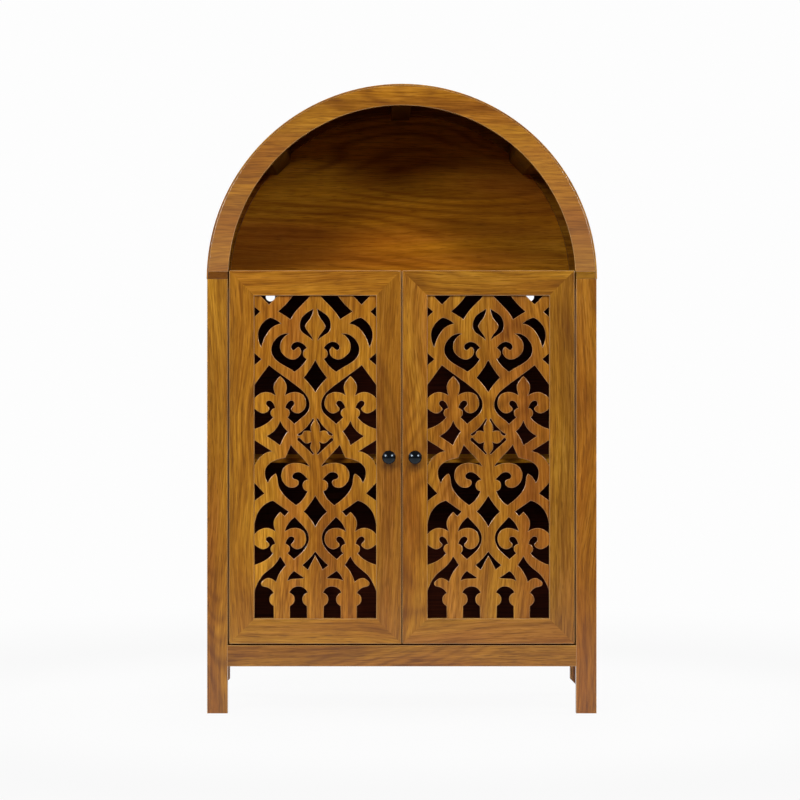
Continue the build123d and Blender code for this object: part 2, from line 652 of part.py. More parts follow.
fret_cutouts = [
    # top border
    [[(55.5, 323.6)], [(46.4, 314.0)], [(37.0, 323.6)]],
    [[(22.0, 323.6), (28.2, 315.6), (37.2, 307.2)],
     [(24.8, 299.3), (18.9, 308.1), (9.9, 317.5), (4.4, 323.6)]],
    [[(61.6, 312.4)], [(55.3, 307.0)], [(61.6, 301.0)]],
    # crescent and leaf slot
    [[(34.3, 294.9), (40.1, 299.0), (45.4, 300.9)],
     [(45.4, 300.9), (52.6, 295.6), (57.3, 285.6), (57.0, 279.5), (54.2, 271.3)],
     [(54.2, 271.3), (50.1, 282.5), (43.9, 290.6), (34.3, 294.9)]],
    [[(1.9, 309.7), (5.8, 307.4), (13.2, 301.2), (15.4, 294.4), (13.9, 287.5), (8.2, 283.0),
      (2.6, 278.3)],
     [(2.6, 278.3), (5.4, 284.4), (8.6, 288.6), (10.3, 292.3)],
     [(10.3, 292.3), (8.3, 296.3), (4.8, 300.9), (3.2, 304.6), (1.9, 309.7)]],
    # high centre scroll
    [[(26.2, 284.9), (35.1, 283.2), (42.0, 276.3), (44.1, 268.8), (42.0, 261.9), (34.5, 255.0),
      (21.0, 246.8)],
     [(21.0, 246.8), (13.9, 252.5), (8.6, 259.7)],
     [(8.6, 259.7), (12.4, 265.3), (8.5, 270.4)],
     [(8.5, 270.4), (13.2, 275.3), (17.6, 276.7), (22.6, 274.8), (24.2, 271.2), (22.2, 268.6),
      (19.6, 269.7), (17.0, 271.6), (14.8, 269.4), (14.3, 265.9), (17.4, 261.0), (23.2, 259.0),
      (29.8, 261.9), (34.2, 266.8), (35.4, 272.5), (33.3, 279.0), (26.2, 284.9)]],
    [[(61.6, 265.9)], [(54.0, 259.4)], [(61.6, 252.8)]],
    # round the high fleur-de-lis
    [[(46.5, 253.4), (39.5, 247.9), (27.0, 238.8), (17.0, 231.3), (8.9, 223.1), (5.8, 214.5),
      (7.6, 207.2), (13.9, 200.6), (20.9, 194.6)],
     knuckle_side, scroll_side, leaf_side, backwards(across_fleur(leaf_side)),
     outer_scroll_top, [(61.6, 232.9)]],
    under_outer_scroll,
    [[(35.25, 197.9), (31.6, 191.2), (27.6, 187.2)], [(27.6, 187.2), (32.2, 180.4), (35.3, 173.3)],
     [(48.7, 182.5), (38.9, 190.3), (35.25, 197.9)]],
    [[(43.4, 167.2), (53.9, 162.8), (57.0, 159.7), (61.6, 151.0)], [(61.6, 178.8)]],
    # four slots round the quatrefoil
    [[(2.4, 200.3), (8.1, 192.1), (17.5, 184.3)], [(16.8, 182.8), (14.2, 183.6), (12.2, 186.9)],
     [(12.2, 186.9), (8.3, 187.9), (4.2, 186.7)],
     [(4.2, 186.7), (4.9, 190.4), (4.2, 193.8), (2.9, 196.0), (1.5, 198.7)]],
    [[(17.7, 179.4), (16.3, 180.7), (14.6, 179.5), (12.6, 177.4), (10.7, 175.7), (8.4, 175.0),
      (6.0, 175.6), (3.9, 176.7)],
     [(3.9, 176.7), (4.8, 173.0), (4.7, 169.8), (3.4, 167.4), (1.5, 165.1)],
     [(2.4, 164.0), (8.6, 170.0), (18.0, 178.3)]],
    # low centre scroll
    [[(24.5, 173.6), (27.2, 167.0), (30.0, 160.8)],
     [(30.0, 160.8), (38.2, 158.8), (45.2, 155.4), (49.5, 150.6), (50.4, 143.5), (47.4, 135.6)],
     [(47.4, 135.6), (44.4, 141.3), (39.6, 144.9)],
     [(39.6, 144.9), (38.0, 141.0), (37.2, 134.5), (33.9, 126.9), (27.2, 119.4), (19.3, 113.2)],
     [(19.3, 113.2), (12.5, 119.2), (7.9, 127.3)],
     [(7.9, 127.3), (12.8, 132.8), (7.0, 138.8)],
     [(7.0, 138.8), (11.4, 143.4), (17.0, 146.4), (21.8, 144.6), (22.9, 141.8), (21.3, 139.5),
      (18.3, 138.7), (16.6, 136.2), (17.8, 133.0), (21.5, 130.9), (25.8, 131.0), (30.6, 134.2),
      (33.9, 140.6), (33.7, 146.6), (30.4, 152.0), (24.5, 155.0), (17.5, 155.6), (11.5, 154.3),
      (6.0, 152.0)],
     [(6.0, 152.0), (10.1, 157.5), (17.0, 165.0), (24.5, 173.6)]],
    [[(61.6, 136.4)], [(51.0, 125.0)], [(61.6, 117.2)]],
    # round the low fleur-de-lis
    [[(42.4, 117.8), (50.8, 113.8), (57.6, 105.6), (60.6, 96.0), (61.6, 90.0)],
     lowered(backwards(outer_scroll_top)), lowered(across_fleur(leaf_side)), [(30.9, 102.4)],
     [(26.8, 106.9)]],
    [[(20.4, 101.4), (26.4, 95.6), (30.5, 87.0)], lowered(backwards(scroll_side)),
     lowered(backwards(knuckle_side)),
     [(21.4, 59.3), (14.5, 65.3), (9.3, 71.4), (6.7, 78.8), (7.0, 83.8), (12.0, 92.2),
      (20.4, 101.4)]],
    [lowered(run) for run in under_outer_scroll],
    # pillars along the bottom
    [[(29.6, 53.4), (34.5, 47.5), (37.9, 41.0), (39.3, 36.4)],
     [(39.3, 36.4), (43.9, 39.6), (48.0, 40.3), (52.0, 38.2), (54.3, 34.6), (52.9, 32.4),
      (49.2, 31.4), (45.1, 29.4), (41.7, 25.2)],
     [(41.7, 25.2), (46.1, 19.0), (41.7, 12.6)], [(41.6, -0.6)], [(61.6, -0.6)],
     [(61.6, 25.0), (57.6, 35.6), (52.0, 43.8), (43.9, 50.6), (38.2, 56.8), (35.3, 62.1)]],
    [[(21.3, 47.4), (24.9, 43.8), (27.9, 37.7)],
     [(27.9, 37.7), (22.6, 39.5), (17.5, 39.8), (11.2, 40.4)]],
    [[(26.0, 25.7), (16.9, 32.0), (7.7, 25.7)], [(7.7, 25.7), (13.0, 19.6), (8.5, 12.6)],
     [(8.3, -0.6)], [(25.4, -0.6)], [(25.4, 12.6), (20.8, 19.6), (26.0, 25.7)]],
    # halves of the cut-outs on the centre line
    [[(0, 258.5), (5.3, 249.4), (11.7, 240.8)], [(11.7, 240.8), (5.0, 233.6), (0, 226.4)]],
    [[(0, 122.7), (5.4, 114.4), (11.6, 106.8)], [(11.6, 106.8), (5.5, 100.6), (0, 91.6)]],
    [[(0, 66.9), (7.0, 58.6), (12.9, 53.2)], [(7.4, 48.8), (4.2, 55.2), (0, 63.0)]],
]

fret_points = [point for cutout in fret_cutouts for run in cutout for point in run]
square_w = opening_w / 2 / (max(x for x, z in fret_points) - fret_overlap)
square_h = opening_h / (max(z for x, z in fret_points) - fret_overlap)
fret_margin = groove_depth - groove_end_clear


def fret_outline(cutout):
    """The closed outline of one cut-out."""
    scaled = [[(x * square_w, z * square_h) for x, z in run] for run in cutout]
    with BuildLine() as outline:
        for run, following in zip(scaled, scaled[1:] + scaled[:1]):
            if len(run) == 3:
                ThreePointArc(*run)
            elif len(run) > 3:
                Spline(*run)
            if dist(run[-1], following[0]) > small_gap:
                Line(run[-1], following[0])
    return outline.edges()


with BuildPart() as fretwork:
    with BuildSketch(upright(fret_back_y, door_mid_x, opening_z)):
        half_w = opening_w / 2 + fret_margin
        with Locations((half_w / 2, opening_h / 2)):
            Rectangle(half_w, opening_h + 2 * fret_margin)
        for cutout in fret_cutouts:
            make_face(fret_outline(cutout), mode=Mode.SUBTRACT)
        mirror(about=Plane.YZ)
    extrude(amount=fret_t)
save_pair(fretwork, "door_fretwork")

# ---- Knobs, catches and strike plates ----------------------------------------------------------
with BuildPart() as knob:
    with BuildSketch(Plane(origin=(knob_x, 0, knob_z), x_dir=(0, 1, 0), z_dir=(1, 0, 0))):
        base_y = front_y - knob_base_t
        tip_y = front_y - knob_reach
        rim_y = tip_y + knob_rim
        head_y = tip_y + knob_head_t
        with BuildLine():
            Polyline((front_y, 0), (front_y, knob_base_d / 2), (base_y, knob_base_d / 2))
            Spline((base_y, knob_base_d / 2), (base_y - knob_neck_curve, knob_neck_d / 2),
                   (head_y + knob_neck_curve, knob_neck_d / 2), (head_y, knob_d * 0.43),
                   (rim_y, knob_d / 2))
            Spline((rim_y, knob_d / 2), (tip_y + knob_rim * 0.45, knob_d * 0.39), (tip_y, 0),
                   tangents=((-1, 0), (0, -1)))
            Line((tip_y, 0), (front_y, 0))
        make_face()
    revolve(axis=Axis((knob_x, 0, knob_z), (0, 1, 0)))
    with Locations(*knob_place):
        Cylinder((knob_screw_d + screw_clear) / 2, 2 * knob_bore_depth, mode=Mode.SUBTRACT)
save_pair(knob, "knob")

with BuildPart() as knob_screw:
    with Locations(*facing((0, -1, 0), (knob_x, door_back_y, knob_z))):
        Cylinder(knob_screw_d / 2, door_t + knob_screw_bite,
                 align=(Align.CENTER, Align.CENTER, Align.MIN))
        Cylinder(knob_screw_head_d / 2, knob_screw_head_h,
                 align=(Align.CENTER, Align.CENTER, Align.MAX))
        with Locations((0, 0, -knob_screw_head_h)):
            Box(knob_screw_head_d * 0.6, recess_w, 2 * recess_depth, mode=Mode.SUBTRACT)
            Box(recess_w, knob_screw_head_d * 0.6, 2 * recess_depth, mode=Mode.SUBTRACT)
save_pair(knob_screw, "knob_screw")

magnet_front_y = door_back_y + strike_t + strike_clear
catch_front_y = magnet_front_y + magnet_proud
magnet_x = (catch_x + (catch_w - magnet_w) / 2, catch_x + (catch_w + magnet_w) / 2)
magnet_z = (catch_z - magnet_h / 2, catch_z + magnet_h / 2)

with BuildPart() as catch_housing:
    block((catch_x, catch_x + catch_w), (catch_front_y, catch_front_y + catch_d),
          (post_h - catch_h, post_h))
    fillet(catch_housing.edges().filter_by(Axis.Y).group_by(Axis.Z)[0], arris_r)
    block((magnet_x[0] - small_gap, magnet_x[1] + small_gap),
          (catch_front_y, magnet_front_y + magnet_d + small_gap),
          (magnet_z[0] - small_gap, magnet_z[1] + small_gap), Mode.SUBTRACT)
save_pair(catch_housing, "catch_housing")

with BuildPart() as catch_magnet:
    block(magnet_x, (magnet_front_y, magnet_front_y + magnet_d), magnet_z)
save_pair(catch_magnet, "catch_magnet")

with BuildPart() as strike_plate:
    with Locations(*strike_place):
        Box(strike_w, strike_h, strike_t, align=(Align.CENTER, Align.CENTER, Align.MIN))
        Cylinder(strike_pin_d / 2, strike_pin_l, align=(Align.CENTER, Align.CENTER, Align.MAX))
save_pair(strike_plate, "strike_plate")
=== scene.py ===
import math

import bpy
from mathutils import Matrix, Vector


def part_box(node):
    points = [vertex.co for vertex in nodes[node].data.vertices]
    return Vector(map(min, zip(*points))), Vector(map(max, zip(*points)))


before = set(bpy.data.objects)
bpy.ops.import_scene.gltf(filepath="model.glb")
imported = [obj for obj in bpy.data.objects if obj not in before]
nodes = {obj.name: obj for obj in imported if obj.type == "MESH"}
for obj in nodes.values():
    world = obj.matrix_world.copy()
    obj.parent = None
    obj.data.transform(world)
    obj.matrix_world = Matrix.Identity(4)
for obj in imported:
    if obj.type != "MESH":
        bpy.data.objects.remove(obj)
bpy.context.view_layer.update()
scene = bpy.context.scene

# The scene dresses an arched cabinet with fretwork doors. Its shapes all come from the frame; what
# is made here is their materials, the studio and the camera. Lengths are in metres.


# ---- node helpers ------------------------------------------------------------------------------
class Graph:
    """A small builder for one material's node tree."""

    def __init__(self, name):
        self.mat = bpy.data.materials.new(name)
        self.mat.use_nodes = True
        self.tree = self.mat.node_tree
        self.tree.nodes.clear()

    @classmethod
    def of(cls, tree):
        """The same for a tree that belongs to something else, such as the world."""
        graph = cls.__new__(cls)
        graph.tree = tree
        tree.nodes.clear()
        return graph

    def node(self, kind, inputs=None, **props):
        n = self.tree.nodes.new(kind)
        for key, value in props.items():
            setattr(n, key, value)
        for key, value in (inputs or {}).items():
            socket = n.inputs[key]
            if isinstance(value, bpy.types.NodeSocket):
                self.tree.links.new(value, socket)
            else:
                socket.default_value = value
        return n

    def math(self, op, a, b=0.0, c=0.0, clamp=False):
        n = self.node("ShaderNodeMath", {0: a, 1: b, 2: c}, operation=op)
        n.use_clamp = clamp
        return n.outputs[0]

    def mix(self, factor, a, b, blend="MIX"):
        n = self.node("ShaderNodeMix", data_type="RGBA", blend_type=blend)
        for index, value in ((0, factor), (6, a), (7, b)):
            if isinstance(value, bpy.types.NodeSocket):
                self.tree.links.new(value, n.inputs[index])
            else:
                n.inputs[index].default_value = value
        return n.outputs[2]

    def noise(self, vector, scale, detail=2.0, rough=0.5, distort=0.0):
        return self.node("ShaderNodeTexNoise", {
            "Vector": vector, "Scale": scale, "Detail": detail, "Roughness": rough,
            "Distortion": distort}).outputs[0]

    def ramp(self, factor, stops, interpolation="LINEAR"):
        n = self.node("ShaderNodeValToRGB", {0: factor})
        n.color_ramp.interpolation = interpolation
        elements = n.color_ramp.elements
        while len(elements) < len(stops):
            elements.new(0.5)
        for element, (pos, colour) in zip(elements, stops):
            element.position = pos
            element.color = colour if len(colour) == 4 else (*colour, 1.0)
        return n.outputs[0]

    def finish(self, shader):
        out = self.node("ShaderNodeOutputMaterial")
        self.tree.links.new(shader, out.inputs[0])
        return self.mat


def srgb(r, g, b):
    """A colour given as it looks on screen, 0 to 255, in linear values."""
    return tuple(((v / 255 + 0.055) / 1.055) ** 2.4 if v > 10 else v / 255 / 12.92
                 for v in (r, g, b)) + (1.0,)


# ---- wood --------------------------------------------------------------------------------------
WOOD_PALE = srgb(194, 136, 32)
WOOD_FAIR = srgb(178, 117, 22)
WOOD_MID = srgb(160, 97, 16)
WOOD_RED = srgb(160, 88, 30)
WOOD_DARK = srgb(108, 56, 8)
WOOD_PORE = srgb(78, 40, 8)
# the colour of the painted highlight on sharp edges
EDGE_HIGHLIGHT = srgb(222, 178, 116)
# the colour of a painted sheen, which stands in for reflected light
PAINTED_SHEEN_COLOUR = srgb(190, 142, 96)
MOST_PAINTED_SHEEN = 0.26           # share of the painted sheen's colour where it is strongest
RAW_BOARD = [(0.3, srgb(112, 82, 54)), (0.7, srgb(140, 106, 72))]
MATT = {"gloss": 0.06, "rough": 0.45}
VENEER_T = 0.0005
SEED_STEPS = (3.17, 1.93, 0.71)     # how far each unit of a board's seed moves its grain
RING_LINES = 230.0          # growth rings per unit of the noise whose contours they are
WIDE_RING_LINES = 62.0
EDGE_RADIUS = 0.0026        # of the rounding that is shaded on sharp edges
EDGE_SAMPLES = 6


def wood(name, along, seed, face="Y", light=1.0, figure=1.0, streaks=1.0, big=1.0, rough=0.22,
         gloss=0.6, rim=0.0, joined_ends=True, bleach=None, busy=1.0, raw_behind=None):
    """Brown wood-print laminate whose grain runs along an axis; face is the axis it is seen along.

    The figure is made of the contour lines of a stretched noise, which is how growth rings look on
    a flat-sawn board. Fine fibres and short pores lie over it.

    light makes the board darker or paler; figure, streaks and busy say how strong its rings, its
    broad streaks and its fine lines are, and a low big makes the figure larger. rough and gloss are
    those of the lacquer. rim is how strong a painted highlight on the sharp edges is, apart from
    joined ends, where the board meets another one in a mitre or a butt joint. bleach is a (high,
    low) pair of heights between which a painted sheen makes the wood paler. raw_behind is the
    depth behind which it has no veneer.
    """
    g = Graph(name)
    coord = g.node("ShaderNodeTexCoord").outputs["Object"]
    split = g.node("ShaderNodeSeparateXYZ", {0: coord})
    xyz = [split.outputs[i] for i in range(3)]
    a = "XYZ".index(along)
    d = "XYZ".index(face)
    c = 3 - a - d
    # u along the grain, v across it on the face, w into the board
    vec = g.node("ShaderNodeCombineXYZ", {0: xyz[a], 1: xyz[c], 2: xyz[d]})
    moved = g.node("ShaderNodeMapping", {"Vector": vec.outputs[0],
                                         "Location": tuple(seed * step for step in SEED_STEPS)})

    def stretched(u_scale, v_scale, w_scale=None, start=moved.outputs[0]):
        return g.node("ShaderNodeMapping", {"Vector": start, "Scale": (
            u_scale, v_scale, w_scale if w_scale is not None else v_scale)}).outputs[0]

    # the grain wanders sideways, slowly
    wander = g.noise(stretched(1.6 * big, 3.0 * big), 1.0, 1.0, 0.5)
    sway = g.node("ShaderNodeCombineXYZ", {1: g.math("MULTIPLY", wander, 0.10)}).outputs[0]
    bent = g.node("ShaderNodeVectorMath", {0: moved.outputs[0], 1: sway},
                  operation="ADD").outputs[0]
    # the growth rings are its contours
    hills = g.noise(stretched(0.8 * big, 4.2 * big, 2.0), 1.0, 1.5, 0.4, 0.2)
    contour = g.math("ADD", hills, g.math("MULTIPLY", wander, 0.35))
    rings = g.math("SINE", g.math("MULTIPLY", contour, RING_LINES))
    rings = g.math("POWER", g.math("MULTIPLY_ADD", rings, 0.5, 0.5), 2.2)
    wide_rings = g.math("SINE", g.math("MULTIPLY", contour, WIDE_RING_LINES))
    wide_rings = g.math("POWER", g.math("MULTIPLY_ADD", wide_rings, 0.5, 0.5), 1.8)
    zone = g.noise(stretched(2.2, 10.0), 1.0, 2.0, 0.5)
    zone = g.ramp(zone, [(0.40, (0.15, 0.15, 0.15)), (0.60, (1, 1, 1))], "EASE")
    # streaks along the grain, broad and narrow
    broad = g.noise(stretched(1.3, 22.0, 6.0, bent), 1.0, 4.0, 0.6, 0.25)
    broad = g.ramp(broad, [(0.47, (0, 0, 0)), (0.64, (1, 1, 1))])
    narrow = g.noise(stretched(6.0, 150.0, 30.0, bent), 1.0, 4.0, 0.7)
    # fibres and pores
    fibre = g.noise(stretched(16.0, 360.0, 80.0, bent), 1.0, 3.0, 0.7)
    pore = g.noise(stretched(34.0, 700.0, 240.0, bent), 1.0, 1.0, 0.5)
    pore = g.ramp(pore, [(0.57, (0, 0, 0)), (0.68, (1, 1, 1))])

    base = g.ramp(g.noise(stretched(1.4, 7.0, 7.0, bent), 1.0, 2.0, 0.5), [
        (0.34, WOOD_MID), (0.50, WOOD_FAIR), (0.66, WOOD_PALE)])
    warm = g.noise(stretched(1.1, 12.0, 6.0, bent), 1.0, 3.0, 0.5)
    warm = g.ramp(warm, [(0.48, (0, 0, 0)), (0.64, (1, 1, 1))])
    base = g.mix(g.math("MULTIPLY", warm, 0.45), base, WOOD_RED)
    ring_amount = g.math("MULTIPLY", g.math("MULTIPLY", rings, zone), 0.42 * figure, clamp=True)
    colour = g.mix(ring_amount, base, WOOD_DARK)
    colour = g.mix(g.math("MULTIPLY", wide_rings, 0.20 * figure), colour, WOOD_DARK)
    colour = g.mix(g.math("MULTIPLY", broad, 0.36 * streaks), colour, WOOD_DARK)
    lines = g.ramp(narrow, [(0.40, (0.74, 0.66, 0.60)), (0.51, (1.0, 1.0, 1.0)),
                            (0.62, (1.14, 1.18, 1.6))])
    colour = g.mix(0.9 * busy, colour, lines, "MULTIPLY")
    fine = g.ramp(fibre, [(0.38, (0.76, 0.70, 0.62)), (0.51, (1.0, 1.0, 1.0)),
                          (0.64, (1.16, 1.20, 1.7))])
    colour = g.mix(0.9 * busy, colour, fine, "MULTIPLY")
    colour = g.mix(g.math("MULTIPLY", pore, 0.45), colour, WOOD_PORE)
    if light != 1.0:
        colour = g.mix(1.0, colour, (light, light, light, 1), "MULTIPLY")
    # a painted sheen: paler between two heights, in place of reflected light
    if bleach:
        sheen_share = g.node("ShaderNodeMapRange", {
            0: xyz[2], 1: bleach[0], 2: bleach[1], 4: MOST_PAINTED_SHEEN})
        colour = g.mix(sheen_share.outputs[0], colour, PAINTED_SHEEN_COLOUR)
    if raw_behind is not None:
        felt = g.ramp(g.noise(coord, 260.0, 4.0, 0.7), RAW_BOARD)
        colour = g.mix(g.math("GREATER_THAN", xyz[1], raw_behind), colour, felt)

    height = g.math("SUBTRACT", g.math("MULTIPLY", fibre, 0.5), g.math("MULTIPLY", pore, 0.8))
    bevel = g.node("ShaderNodeBevel", {"Radius": EDGE_RADIUS}, samples=EDGE_SAMPLES)
    normal = bevel.outputs[0]
    if rim:
        # A painted highlight: pale where the shaded rounding leans away from the face, and on the
        # modelled roundings, whose normals are neither along the world's Y nor square to it. The
        # faces of an open door's stiles and fretwork count as such too, so those come out too pale.
        geo = g.node("ShaderNodeNewGeometry")
        dot = g.node("ShaderNodeVectorMath", {0: bevel.outputs[0], 1: geo.outputs["True Normal"]},
                     operation="DOT_PRODUCT").outputs["Value"]
        edge_highlight = g.ramp(dot, [(0.86, (1, 1, 1)), (0.985, (0, 0, 0))])
        turned = g.node("ShaderNodeSeparateXYZ", {0: geo.outputs["True Normal"]}).outputs[1]
        arris = g.ramp(g.math("ABSOLUTE", turned), [
            (0.10, (0, 0, 0)), (0.25, (1, 1, 1)), (0.93, (1, 1, 1)), (0.985, (0, 0, 0))])
        edge_highlight = g.math("MAXIMUM", edge_highlight, arris)
        if joined_ends:
            # no painted highlight at the ends, where the rounding leans along the grain; there it
            # is flat as well
            lean = g.node("ShaderNodeSeparateXYZ", {0: bevel.outputs[0]}).outputs
            sideways = g.math("SUBTRACT", g.math("ABSOLUTE", lean[c]), g.math("ABSOLUTE", lean[a]))
            free = g.math("MULTIPLY", sideways, 8.0, clamp=True)
            edge_highlight = g.math("MULTIPLY", edge_highlight, free)
            lean = g.node("ShaderNodeVectorMath", {0: bevel.outputs[0], 1: geo.outputs["Normal"]},
                          operation="SUBTRACT").outputs[0]
            normal = g.node("ShaderNodeVectorMath", {0: lean, 1: free, 2: geo.outputs["Normal"]},
                            operation="MULTIPLY_ADD").outputs[0]
        colour = g.mix(g.math("MULTIPLY", edge_highlight, rim), colour, EDGE_HIGHLIGHT)
    bump = g.node("ShaderNodeBump", {"Strength": 0.10, "Distance": 0.0003, "Height": height,
                                     "Normal": normal})
    roughness = g.math("MULTIPLY_ADD", fibre, 0.12, rough - 0.06)
    shader = g.node("ShaderNodeBsdfPrincipled", {
        "Base Color": colour, "Roughness": roughness, "Normal": bump.outputs[0],
        "Specular IOR Level": gloss})
    return g.finish(shader.outputs[0])


def back_board(name, seed):
    """Thin back board: almost black on the cupboard side, as painted shade; raw behind."""
    g = Graph(name)
    coord = g.node("ShaderNodeTexCoord").outputs["Object"]
    fibre = g.noise(g.node("ShaderNodeMapping", {"Vector": coord, "Scale": (9, 9, 420),
                                                 "Location": (seed, seed, seed)}).outputs[0],
                    1.0, 3.0, 0.6)
    # painted shade: the face towards the cupboard is made almost black
    painted_shade = g.ramp(fibre, [(0.3, srgb(58, 24, 15)), (0.7, srgb(84, 38, 23))])
    felt = g.ramp(g.noise(coord, 260.0, 4.0, 0.7), RAW_BOARD)
    depth = g.node("ShaderNodeSeparateXYZ", {0: coord}).outputs[1]
    behind = g.math("GREATER_THAN", depth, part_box("lower_back_panel")[1].y - VENEER_T)
    colour = g.mix(behind, painted_shade, felt)
    bump = g.node("ShaderNodeBump", {"Strength": 0.1, "Distance": 0.0003, "Height": fibre})
    shader = g.node("ShaderNodeBsdfPrincipled", {
        "Base Color": colour, "Roughness": 0.6, "Normal": bump.outputs[0],
        "Specular IOR Level": 0.15})
    return g.finish(shader.outputs[0])


def raw_beech():
    g = Graph("beech")
    coord = g.node("ShaderNodeTexCoord").outputs["Object"]
    vec = g.node("ShaderNodeMapping", {"Vector": coord, "Scale": (900, 900, 60)}).outputs[0]
    fleck = g.noise(vec, 1.0, 2.0)
    colour = g.ramp(fleck, [(0.35, srgb(188, 150, 108)), (0.65, srgb(214, 180, 138))])
    shader = g.node("ShaderNodeBsdfPrincipled", {"Base Color": colour, "Roughness": 0.6})
    return g.finish(shader.outputs[0])


def metal(name, dark, pale, rough, scale, metallic=1.0, stretch=(1, 1, 1)):
    """Metal with fine brushing or mottling that changes its colour and its gloss a little."""
    g = Graph(name)
    coord = g.node("ShaderNodeTexCoord").outputs["Object"]
    vec = g.node("ShaderNodeMapping", {"Vector": coord, "Scale": stretch}).outputs[0]
    cloud = g.noise(vec, scale, 4.0, 0.6)
    colour = g.ramp(cloud, [(0.3, dark), (0.7, pale)])
    roughness = g.math("MULTIPLY_ADD", cloud, 0.25, rough - 0.12)
    bump = g.node("ShaderNodeBump", {"Strength": 0.08, "Distance": 0.0002, "Height": cloud})
    shader = g.node("ShaderNodeBsdfPrincipled", {
        "Base Color": colour, "Roughness": roughness, "Metallic": metallic,
        "Normal": bump.outputs[0]})
    return g.finish(shader.outputs[0])


def plastic(name, dark, pale, rough):
    """Moulded plastic with a faint spark-eroded texture."""
    g = Graph(name)
    coord = g.node("ShaderNodeTexCoord").outputs["Object"]
    grain = g.noise(coord, 1400.0, 2.0)
    colour = g.ramp(grain, [(0.3, dark), (0.7, pale)])
    bump = g.node("ShaderNodeBump", {"Strength": 0.15, "Distance": 0.0001, "Height": grain})
    shader = g.node("ShaderNodeBsdfPrincipled", {
        "Base Color": colour, "Roughness": rough, "Normal": bump.outputs[0]})
    return g.finish(shader.outputs[0])


def knob_lacquer():
    """Black lacquer, very slightly uneven, with a hard gloss."""
    g = Graph("knob_lacquer")
    coord = g.node("ShaderNodeTexCoord").outputs["Object"]
    cloud = g.noise(coord, 160.0, 3.0)
    colour = g.ramp(cloud, [(0.3, srgb(3, 5, 7)), (0.7, srgb(8, 11, 14))])
    roughness = g.math("MULTIPLY_ADD", cloud, 0.08, 0.13)
    bump = g.node("ShaderNodeBump", {"Strength": 0.05, "Distance": 0.0003,
                                     "Height": g.noise(coord, 420.0, 2.0)})
    shader = g.node("ShaderNodeBsdfPrincipled", {
        "Base Color": colour, "Roughness": roughness, "Normal": bump.outputs[0],
        "Specular IOR Level": 0.34, "Specular Tint": (0.72, 0.86, 1.0, 1)})
    return g.finish(shader.outputs[0])


def dress(name, material):
    for slot in nodes[name].material_slots:
        slot.material = material


# ---- materials on the CAD nodes ----------------------------------------------------------------
single_boards = {
    "bottom_panel": ("X", "Z"), "front_bottom_rail": ("X", "Y"), "fixed_shelf": ("X", "Z"),
    "inner_shelf": ("X", "Z"), "front_arch": ("X", "Y"),
    "rear_arch": ("X", "Y"), "right_arch_batten": ("Y", "Z"), "crown_arch_batten": ("Y", "Z"),
    "left_arch_batten": ("Y", "Z"), "roof_skin": ("Y", "Z"),
}
paired_boards = {
    "front_post": ("Z", "Y"), "side_panel": ("Z", "X"), "stop_batten": ("Z", "Y"),
    "rear_stile": ("Z", "Y"), "door_meeting_stile": ("Z", "Y"), "door_hinge_stile": ("Z", "Y"),
    "door_top_rail": ("X", "Y"), "door_bottom_rail": ("X", "Y"), "door_fretwork": ("Z", "Y"),
}
boards = dict(single_boards)
for side in ("left", "right"):
    for name, directions in paired_boards.items():
        boards[f"{side}_{name}"] = directions

# Boards that are darker or paler than the rest. The arch battens are painted darker as painted
# shade, the fixed shelf is darker so that it bounces less light into the top of the niche, and
# the inner shelf is painted paler as painted light.
shade = {
    "left_front_post": 0.92, "left_door_hinge_stile": 0.97, "left_door_meeting_stile": 0.83,
    "left_door_top_rail": 1.07, "left_door_bottom_rail": 0.93, "left_door_fretwork": 1.10,
    "right_front_post": 1.03, "right_door_hinge_stile": 0.78, "right_door_meeting_stile": 0.94,
    "right_door_top_rail": 0.84, "right_door_bottom_rail": 0.90, "right_door_fretwork": 0.98,
    "front_bottom_rail": 0.82, "crown_arch_batten": 0.24, "left_arch_batten": 0.26,
    "right_arch_batten": 0.32, "rear_arch": 0.65, "inner_shelf": 1.4, "left_stop_batten": 0.75,
    "right_stop_batten": 0.75, "roof_skin": 0.95, "fixed_shelf": 0.68,
}
# Unlacquered ones inside the niche and the cupboard
matt = {"inner_shelf", "rear_arch", "left_arch_batten", "right_arch_batten", "crown_arch_batten",
        "left_stop_batten", "right_stop_batten"}
# Each board is cut from its own place in the grain.
seed_step = 1.37
chosen_seeds = {"left_door_fretwork": 40.0}
for number, (name, (along, face)) in enumerate(sorted(boards.items())):
    looks = {"light": shade.get(name, 1.0)}
    if name in matt:
        looks.update(MATT)
    else:
        looks.update(rim=0.5)
    if name in ("front_arch", "left_door_fretwork", "right_door_fretwork"):
        looks.update(rim=0.45, joined_ends=False)
    if name == "front_arch":
        # the arch's legs are painted paler towards their feet, a painted sheen
        looks.update(bleach=(1.24, 0.95), streaks=1.6)
    if name == "fixed_shelf":
        looks.update(rim=0.0)
    if name == "roof_skin":
        looks.update(rim=0.4, joined_ends=False, gloss=0.14, rough=0.5)
    seed = chosen_seeds.get(name, 1.0 + seed_step * number)
    dress(name, wood(f"wood_{name}", along, seed, face, **looks))
dress("lower_back_panel", back_board("dark_back", 71.0))
dress("upper_back_panel", wood("wood_upper_back", "X", 84.0, "Y", light=1.22, big=0.7, figure=1.4,
                              busy=0.65, raw_behind=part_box("upper_back_panel")[1].y - VENEER_T,
                              **MATT))

beech = raw_beech()
bronze = metal("hinge_bronze", srgb(70, 48, 30), srgb(104, 74, 48), 0.42, 90.0, stretch=(1, 1, 0.1))
zinc = metal("zinc", srgb(150, 150, 146), srgb(196, 196, 192), 0.34, 700.0)
ferrite = metal("ferrite", srgb(34, 34, 35), srgb(52, 52, 53), 0.75, 900.0, metallic=0.0)
brown_plastic = plastic("brown_plastic", srgb(66, 40, 24), srgb(80, 50, 31), 0.5)
lacquer = knob_lacquer()

